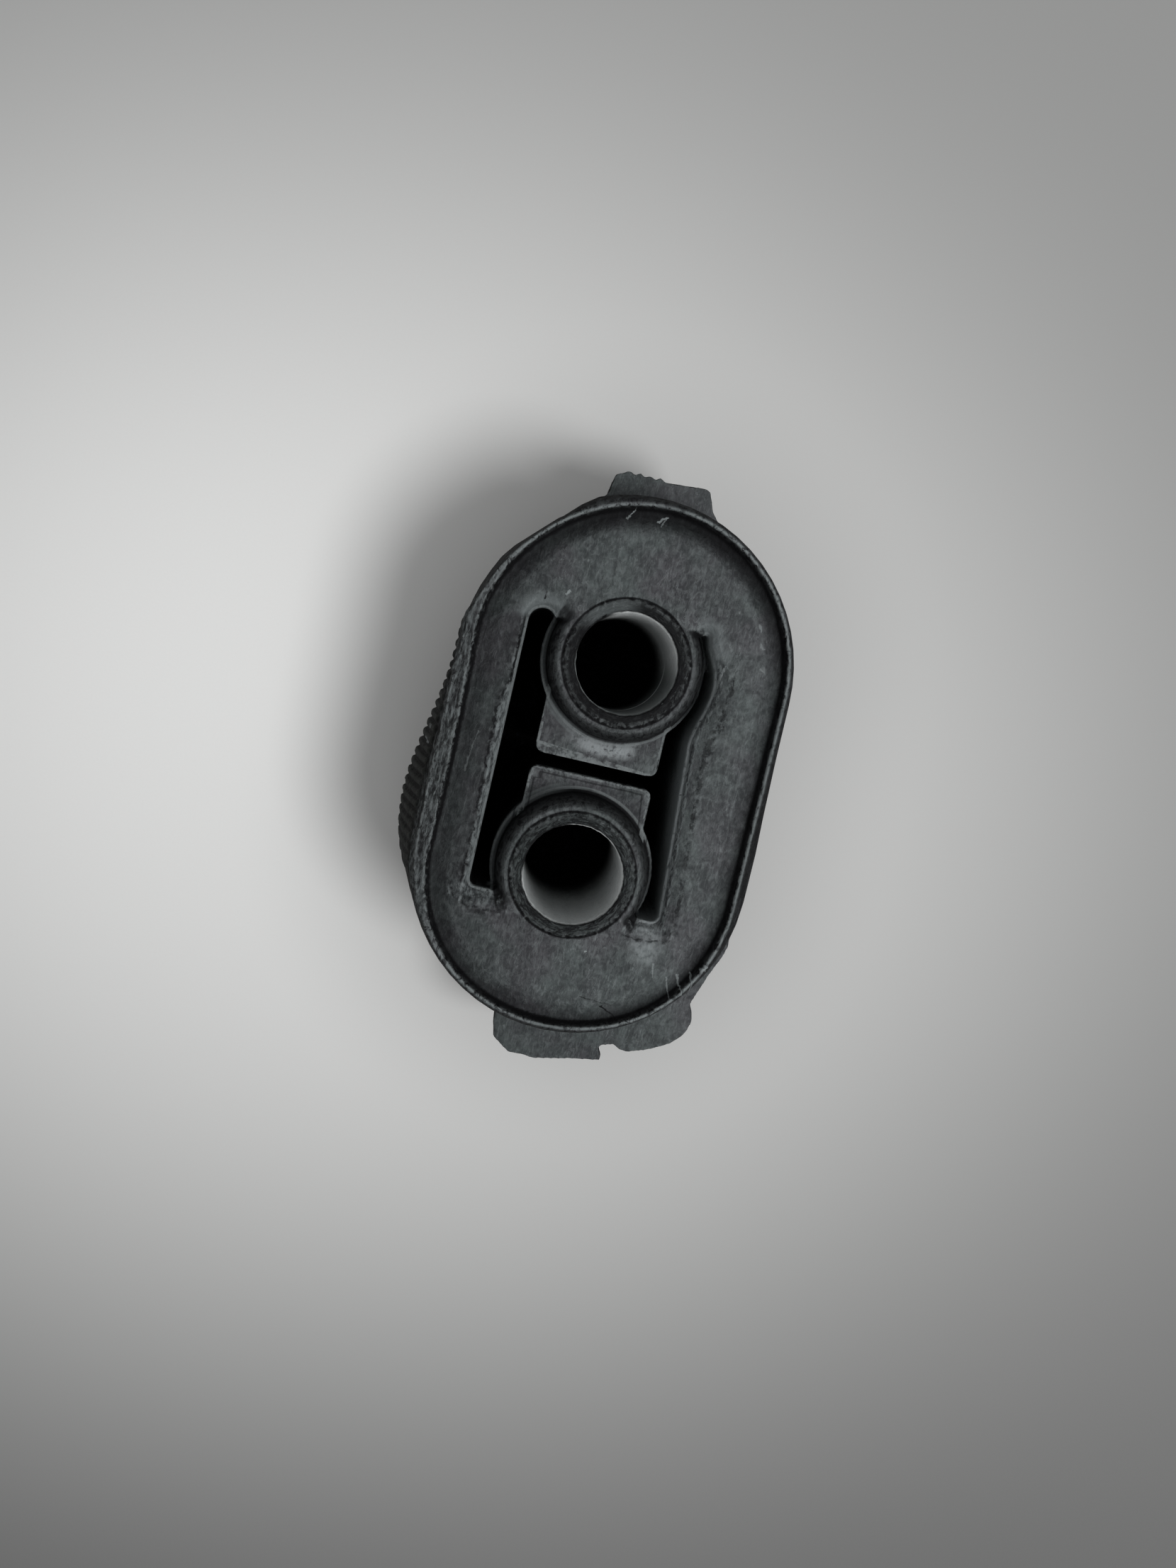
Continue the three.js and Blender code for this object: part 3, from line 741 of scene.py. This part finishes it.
darkMarks = [
    (6.8, -29.0, 9.1, -30.3, 0.16, 0.9),
    (4.0, -28.3, 8.2, -28.6, 0.1, 0.7),
    (10.0, -30.0, 13.2, -31.0, 0.14, 0.8),
    (-11.2, 18.3, -11.1, 19.2, 0.14, 0.9),
]
markShake = 0.25  # how far the dust pushes a mark aside, in millimetres


def markSum(tree, group, place, marks):
    total = None
    for startX, startY, endX, endY, width, strength in marks:
        start, end = (startX, startY, 0), (endX, endY, 0)
        mark = useGroup(tree, group, Place=place, Start=start, End=end, Width=width)["Mask"]
        mark = calc(tree, "MULTIPLY", mark, strength)
        total = mark if total is None else calc(tree, "MAXIMUM", total, mark)
    return total


def makeRubberMaterial():
    # Larger versions of this material rendered pure black. After any change, look at the render.
    material = bpy.data.materials.new("wornRubber")
    material.use_nodes = True
    tree = material.node_tree
    shader = tree.nodes["Principled BSDF"]
    look = {name: colour(*value) for name, value in rubberLook.items() if isinstance(value, tuple)}
    spot = drawingPlace(tree)
    axes = addNode(tree, "ShaderNodeSeparateXYZ", Vector=spot)
    x, y, height = axes.outputs["X"], axes.outputs["Y"], axes.outputs["Z"]
    dust = useGroup(tree, makeDustGroup(), Place=spot)
    isUpper = calc(tree, "GREATER_THAN", y, gapMiddle)
    centreX = calc(tree, "MULTIPLY_ADD", isUpper, upperBore[0] - lowerBore[0], lowerBore[0])
    centreY = calc(tree, "MULTIPLY_ADD", isUpper, upperBore[1] - lowerBore[1], lowerBore[1])
    centre = addNode(tree, "ShaderNodeCombineXYZ", X=centreX, Y=centreY).outputs["Vector"]
    turns = useGroup(tree, makeTurnGroup(), Place=spot, Centre=centre)
    reach, turnStreaks, flakes = turns["Reach"], turns["Streaks"], turns["Flakes"]
    upward, slot, ribs = [attribute(tree, name) for name in ("upward", "slot", "ribs")]
    edge = calc(tree, "SUBTRACT", dust["Fine"], 0.5)
    jag = calc(tree, "SUBTRACT", cloud(tree, spot, 0.9, 4.0, 0.7), 0.5)
    cleanLip = attribute(tree, "pastLip")
    pastLip = calc(tree, "MULTIPLY_ADD", jag, 1.1, cleanLip)
    ring = calc(tree, "ADD", reach, calc(tree, "MULTIPLY", edge, 0.22))
    ragged = calc(tree, "ADD", slot, calc(tree, "MULTIPLY", jag, 1.3))
    atFront = ramp(tree, height, 29.4, 30.0)
    nearFront = ramp(tree, height, 28.6, 29.8)
    onLeft = ramp(tree, x, -7.0, -9.0)
    ends = most(tree, ramp(tree, y, *slotTop), ramp(tree, y, *slotFoot))
    broken = ramp(tree, cloud(tree, spot, 0.7, 5.0, 0.7), 0.42, 0.55)

    # rubber under a film of dust that keeps to what faces up, paler towards the right; painted shade darkens
    # the left side, the lower left and, with grime, the steep sides
    film = blend(tree, dust["Hue"], look["dust"], look["dustWarm"])
    film = layer(tree, film, ramp(tree, x, 8.0, 15.0), look["dustPale"], cover["rightSide"])
    dustyAndShaded = blend(tree, calc(tree, "MULTIPLY_ADD", dust["Patches"], 0.7, 0.3), look["bare"], film)
    dustyAndShaded = layer(tree, dustyAndShaded, dust["Streaks"], look["dustPale"], cover["streaks"])
    dustyAndShaded = layer(tree, dustyAndShaded, ramp(tree, dust["Fine"], 0.5, 1.0), look["dustPale"], cover["paleFine"])
    dustyAndShaded = layer(tree, dustyAndShaded, ramp(tree, dust["Fine"], 0.5, 0.0), look["grimeAndShade"], cover["darkFine"])
    dustyAndShaded = layer(tree, dustyAndShaded, dust["Hairs"], look["dustPale"], cover["hairs"])
    # painted shade: the left side darker, as it gets less light
    dustyAndShaded = layer(tree, dustyAndShaded, ramp(tree, x, -6.0, -15.0), look["grimeAndShade"], cover["leftSideShade"])
    upperTab = product(tree, ramp(tree, height, 24.0, 20.0), ramp(tree, y, 26.0, 29.0))
    dustyAndShaded = layer(tree, dustyAndShaded, upperTab, look["dustPale"], cover["upperTab"])
    # painted shade towards the lower left
    lowerLeftShade = product(tree, ramp(tree, x, 2.0, -6.0), ramp(tree, y, -12.0, -17.0))
    dustyAndShaded = layer(tree, dustyAndShaded, lowerLeftShade, look["grimeAndShade"], cover["lowerLeftShade"])
    # steep sides: grime and painted shade, darker than what faces up
    steep = blend(tree, dust["Fine"], look["grimeAndShade"], look["flank"])
    tone = blend(tree, ramp(tree, upward, 0.5, 0.95), steep, dustyAndShaded)

    # dirt and painted shade in the trough: a black line along the lip, fading up to the face
    troughDirtAndShade = product(tree, ramp(tree, y, 12.0, 28.0, 0.38, 0.88), ramp(tree, x, -16.0, -5.0, 0.6, 1.0))
    troughFade = ramp(tree, pastLip, ramp(tree, y, 12.0, 28.0, 2.6, 3.6), 0.8)
    trough = product(tree, troughFade, ramp(tree, pastLip, -0.05, 0.1), atFront)
    tone = layer(tree, tone, product(tree, trough, troughDirtAndShade), look["grimeAndShade"])
    # the crevice at the lip's inner edge, darkened with dirt and painted shade
    creviceDirtAndShade = product(tree, band(tree, pastLip, 0.0, 0.55, 0.12), atFront)
    tone = layer(tree, tone, product(tree, creviceDirtAndShade, ramp(tree, x, 14.0, 2.0, 0.25, 0.75)), look["grimeAndShade"])

    # the flank just below the lip, and the worn crest of the thin lip
    lipWidth = attribute(tree, "lipWidth")
    fromRim = calc(tree, "ADD", cleanLip, lipWidth)
    outside = product(tree, ramp(tree, fromRim, -0.05, -0.25), ramp(tree, height, 24.0, 26.0))
    outsideTone = blend(tree, dust["Streaks"], look["grimeAndShade"], look["bare"])
    tone = layer(tree, tone, outside, outsideTone, cover["outside"])
    thinLip = ramp(tree, lipWidth, 0.7, 0.35)
    crest = band(tree, calc(tree, "MULTIPLY_ADD", jag, 0.3, fromRim), -0.05, 0.28, 0.07)
    crest = product(tree, crest, thinLip, atFront, ramp(tree, dust["Fine"], 0.1, 0.5))
    tone = layer(tree, tone, crest, look["worn"], ramp(tree, x, -2.0, 12.0, 0.45, 0.6))

    # the slots: bright brink, rubbed strip, dark torn line, and a dark fade on the left arm
    strip = product(tree, ramp(tree, y, 9.0, 5.0, 0.25, 1.0), ramp(tree, y, 0.0, -9.0, 1.0, 0.65))
    leftStrip = product(tree, onLeft, ramp(tree, calc(tree, "SUBTRACT", ragged, strip), 0.1, -0.1))
    rightEdge = flip(tree, onLeft)
    jagged = calc(tree, "MULTIPLY_ADD", jag, 0.3, slot)
    rightStrip = product(tree, rightEdge, ramp(tree, jagged, 1.0, 0.8))
    endStrip = product(tree, ends, ramp(tree, ragged, 2.5, 0.7))
    sideStrip = product(tree, most(tree, leftStrip, rightStrip), flip(tree, ends))
    worn = product(tree, most(tree, sideStrip, endStrip), nearFront)
    leftLine = product(tree, onLeft, band(tree, calc(tree, "SUBTRACT", ragged, strip), 0.08, 0.36, 0.08))
    rightLine = product(tree, flip(tree, onLeft), band(tree, ragged, 1.75, 2.35, 0.12), broken)
    endLine = product(tree, ramp(tree, y, *slotFoot), band(tree, ragged, 2.15, 2.4, 0.1), broken)
    sideLine = product(tree, most(tree, leftLine, rightLine), flip(tree, ends))
    tornLine = product(tree, most(tree, sideLine, endLine), atFront)
    armFade = product(tree, ramp(tree, slot, 3.4, 1.3), onLeft, flip(tree, ends), atFront)
    tone = layer(tree, tone, armFade, look["grimeAndShade"], cover["armFade"])
    along = cloud(tree, stretched(tree, spot, (2.4, 0.5, 1.0), 0), 1.2, 6.0, 0.75, 0.6)
    alongWorn = ramp(tree, along, 0.42, 0.6)
    endWorn = product(tree, ends, ramp(tree, y, -16.0, 12.0, 0.1, 0.8))
    wornShare = calc(tree, "MAXIMUM", alongWorn, endWorn)
    tone = layer(tree, tone, worn, blend(tree, wornShare, look["bare"], look["worn"]), cover["worn"])
    flattened = vectorCalc(tree, "MULTIPLY", spot, (1, 0.7, 0))
    funnel = ramp(tree, vectorCalc(tree, "DISTANCE", flattened, (10.6, -14.1, 0)), 2.6, 1.0)
    funnel = product(tree, funnel, nearFront, ramp(tree, slot, 0.1, 0.4), ramp(tree, jag, -0.25, 0.05))
    tone = layer(tree, tone, funnel, look["rubbed"], cover["funnel"])
    tone = layer(tree, tone, tornLine, look["grimeAndShade"], cover["tornLine"])
    brink = product(tree, ramp(tree, slot, 0.36, 0.2), nearFront, ramp(tree, dust["Fine"], 0.0, 0.4))
    tone = layer(tree, tone, brink, blend(tree, onLeft, look["rubbed"], look["dustPale"]), cover["brink"])

    # collars: rough ring, dark line round it and a shoulder that darkens outwards
    collar = ramp(tree, reach, collarRadius - 0.1, collarRadius + 0.2, 1.0, 0.0)
    collar = product(tree, collar, band(tree, height, 25.8, 31.4, 0.25))
    shoulderTone = blend(tree, ramp(tree, turnStreaks, 0.4, 0.74), look["flank"], look["dust"])
    shoulderFoot = ramp(tree, reach, 8.1, 9.0)
    shoulderTone = layer(tree, shoulderTone, shoulderFoot, look["grimeAndShade"], cover["shoulderFoot"])
    shoulder = product(tree, collar, ramp(tree, ring, 7.7, 8.0))
    tone = layer(tree, tone, shoulder, shoulderTone, cover["shoulder"])
    ledge = product(tree, band(tree, reach, 9.7, 10.9, 0.12), band(tree, height, 24.8, 27.2, 0.4),
                    ramp(tree, x, -2.0, -5.0))
    tone = layer(tree, tone, ledge, look["worn"], cover["ledge"])
    collarRim = product(tree, band(tree, reach, 10.05, 10.42, 0.08), band(tree, height, 23.5, 30.5, 0.5),
                        ramp(tree, turnStreaks, 0.3, 0.5))
    tone = layer(tree, tone, collarRim, look["dustPale"], cover["collarRim"])
    ringZone = product(tree, band(tree, ring, 6.35, 7.75, 0.12), ramp(tree, height, 30.6, 31.0))
    flakeTone = blend(tree, calc(tree, "MULTIPLY_ADD", isUpper, 0.65, 0.35), look["dust"], look["flank"])
    ringTone = blend(tree, flakes, look["grimeAndShade"], flakeTone)
    ringPatch = product(tree, ramp(tree, y, 15.5, 18.0), ramp(tree, x, 1.0, -2.0))
    ringTone = layer(tree, ringTone, ringPatch, look["worn"], cover["ringPatch"])
    ringStreaks = product(tree, ramp(tree, turnStreaks, 0.6, 0.68), ramp(tree, dust["Fine"], 0.4, 0.8))
    ringTone = layer(tree, ringTone, ringStreaks, look["dustPale"], cover["ringStreaks"])
    tone = layer(tree, tone, ringZone, ringTone, cover["ring"])
    # painted shade: a dark line in the cleft round the ring
    ringTop = ramp(tree, height, 30.2, 30.6)
    ringShadeLine = band(tree, calc(tree, "MULTIPLY_ADD", jag, 0.2, reach), 7.72, 7.98, 0.07)
    ringShadeLine = product(tree, ringTop, ringShadeLine)
    tone = layer(tree, tone, ringShadeLine, look["grimeAndShade"], cover["ringShadeLine"])

    # the broad rough lip beside the left arm
    lip = product(tree, ramp(tree, pastLip, -0.05, 0.08, 1.0, 0.0), ramp(tree, lipWidth, 0.5, 1.2), atFront)
    lipTone = blend(tree, ramp(tree, along, 0.44, 0.7), look["flank"], look["worn"])
    lipTone = layer(tree, lipTone, ramp(tree, along, 0.5, 0.38), look["grimeAndShade"], cover["lipDirt"])
    tone = layer(tree, tone, lip, lipTone, cover["lip"])

    # ribs, painted shade in the hollows and in the dark inside of the slots, and painted light on the right
    # slot wall
    ribTone = blend(tree, ramp(tree, attribute(tree, "edgeWear"), 0.05, 0.4), look["rib"], look["ribCrest"])
    ribLine = band(tree, calc(tree, "MULTIPLY_ADD", edge, 1.4, height), 22.7, 23.3, 0.2)
    ribTone = layer(tree, ribTone, ribLine, look["grimeAndShade"], cover["ribLine"])
    tone = layer(tree, tone, ribs, ribTone, cover["ribs"])
    # painted shade in the hollows, away from the slot brinks
    hollow = product(tree, attribute(tree, "hollow"), ramp(tree, slot, 0.3, 0.6))
    tone = layer(tree, tone, hollow, look["grimeAndShade"], cover["hollow"])
    # painted light: the right slot wall is painted paler, more so towards the front
    litSlotWall = product(tree, ramp(tree, slot, 0.6, 0.35), ramp(tree, x, 8.0, 9.2),
                       ramp(tree, height, 6.0, 27.0), ramp(tree, upward, 0.6, 0.3))
    # painted shade: the inside of the slots darkened
    inside = product(tree, attribute(tree, "inside"), flip(tree, litSlotWall))
    tone = layer(tree, tone, inside, look["grimeAndShade"], cover["inside"])
    tone = layer(tree, tone, litSlotWall, look["worn"], cover["litSlotWall"])

    # rubbed edges, and the rubbed patch below the upper collar with a painted highlight on it
    rubbed = product(tree, attribute(tree, "edgeWear"), ramp(tree, height, 24.5, 26.0),
                     ramp(tree, dust["Fine"], 0.2, 0.6), flip(tree, ribs))
    rubbed = product(tree, rubbed, ramp(tree, reach, 6.9, 7.3))
    tone = layer(tree, tone, rubbed, look["dustPale"], cover["rubbedEdge"])
    fromBlock = calc(tree, "MULTIPLY_ADD", jag, 0.2, attribute(tree, "blockEdge"))
    blockEdge = product(tree, ramp(tree, fromBlock, 0.42, 0.3), broken)
    tone = layer(tree, tone, blockEdge, look["dustPale"], cover["blockEdge"])
    blockLine = product(tree, band(tree, fromBlock, 0.62, 0.85, 0.08), ramp(tree, y, -1.0, -1.2))
    tone = layer(tree, tone, blockLine, look["grimeAndShade"], cover["blockLine"])
    # painted highlight: a bright soft spot on the block face beside the upper collar
    patch = product(tree, band(tree, reach, 10.3, 11.9, 0.6), ramp(tree, x, -6.0, -1.0),
                    ramp(tree, x, 5.5, 3.0))
    patch = product(tree, patch, ramp(tree, y, 0.1, 0.4), band(tree, height, 25.0, 27.0, 0.3),
                    ramp(tree, calc(tree, "ADD", jag, 0.5), 0.32, 0.52))
    tone = layer(tree, tone, patch, look["rubbed"], cover["rubbedHighlightPatch"])

    # single marks and specks, pushed a little out of line by the dust
    flat = vectorCalc(tree, "MULTIPLY", spot, (1, 1, 0))
    push = addNode(tree, "ShaderNodeCombineXYZ", X=edge, Y=calc(tree, "SUBTRACT", dust["Patches"], 0.5))
    shaken = vectorCalc(tree, "ADD", flat, vectorCalc(tree, "SCALE", push.outputs["Vector"], scale=markShake))
    markGroup = makeMarkGroup()
    for marks, over in ((darkMarks, look["grimeAndShade"]), (paleMarks, look["dustPale"])):
        tone = layer(tree, tone, product(tree, markSum(tree, markGroup, shaken, marks), atFront), over)

    # pale dust and painted light on the bore walls near the front: the wall is painted brighter towards the
    # top of each bore, and in a band part way down the upper bore
    wall = product(tree, ramp(tree, reach, boreRadius + 0.2, boreRadius + 0.45, 1.0, 0.0),
                   ramp(tree, height, 5.0, 20.0), ramp(tree, upward, 0.3, 0.6, 1.0, 0.0))
    aboveBore = calc(tree, "SUBTRACT", y, centreY)
    across = calc(tree, "MULTIPLY_ADD", aboveBore, -0.35, calc(tree, "MULTIPLY", x, 0.6))
    wall = product(tree, wall, ramp(tree, height, 31.5, 31.0), ramp(tree, across, -3.9, -3.0))
    inLower = ramp(tree, aboveBore, -4.0, 0.0, 0.52, 0.95)
    inUpper = ramp(tree, aboveBore, -1.5, 3.0)
    flare = ramp(tree, height, 17.5, 19.0)
    inUpper = product(tree, inUpper, flip(tree, calc(tree, "MULTIPLY", flare, 0.1)))
    inUpper = most(tree, inUpper, product(tree, band(tree, height, 17.6, 18.8, 0.3), 0.9))
    upperShare = product(tree, isUpper, inUpper)
    bright = calc(tree, "ADD", upperShare, product(tree, flip(tree, isUpper), inLower))
    boreTone = blend(tree, bright, look["bore"], look["boreDeep"])
    boreTone = layer(tree, boreTone, dust["Streaks"], look["dust"], cover["boreStreaks"])
    tone = layer(tree, tone, wall, boreTone, cover["boreWall"])

    setInput(tree, shader.inputs["Base Color"], tone)
    shader.inputs["Specular IOR Level"].default_value = rubberLook["specular"]
    spread = rubberLook["roughnessSpread"]
    rough = calc(tree, "MULTIPLY_ADD", dust["Patches"], spread, rubberLook["roughness"] - spread / 2)
    setInput(tree, shader.inputs["Roughness"], rough)
    relief = calc(tree, "MULTIPLY", dust["Fine"], 0.5)
    relief = calc(tree, "ADD", relief, calc(tree, "MULTIPLY", dust["Patches"], 0.35))
    relief = calc(tree, "ADD", relief, product(tree, ringZone, flakes))
    relief = calc(tree, "ADD", relief, product(tree, lip, along))
    giveBump(tree, shader, relief, rubberLook["bump"], rubberLook["bumpReach"])
    print("rubber material made")
    return material


makeCamera()
makeFloor()
makeLights()
rubber = makeRubberBody()
rubber.data.materials.append(makeRubberMaterial())
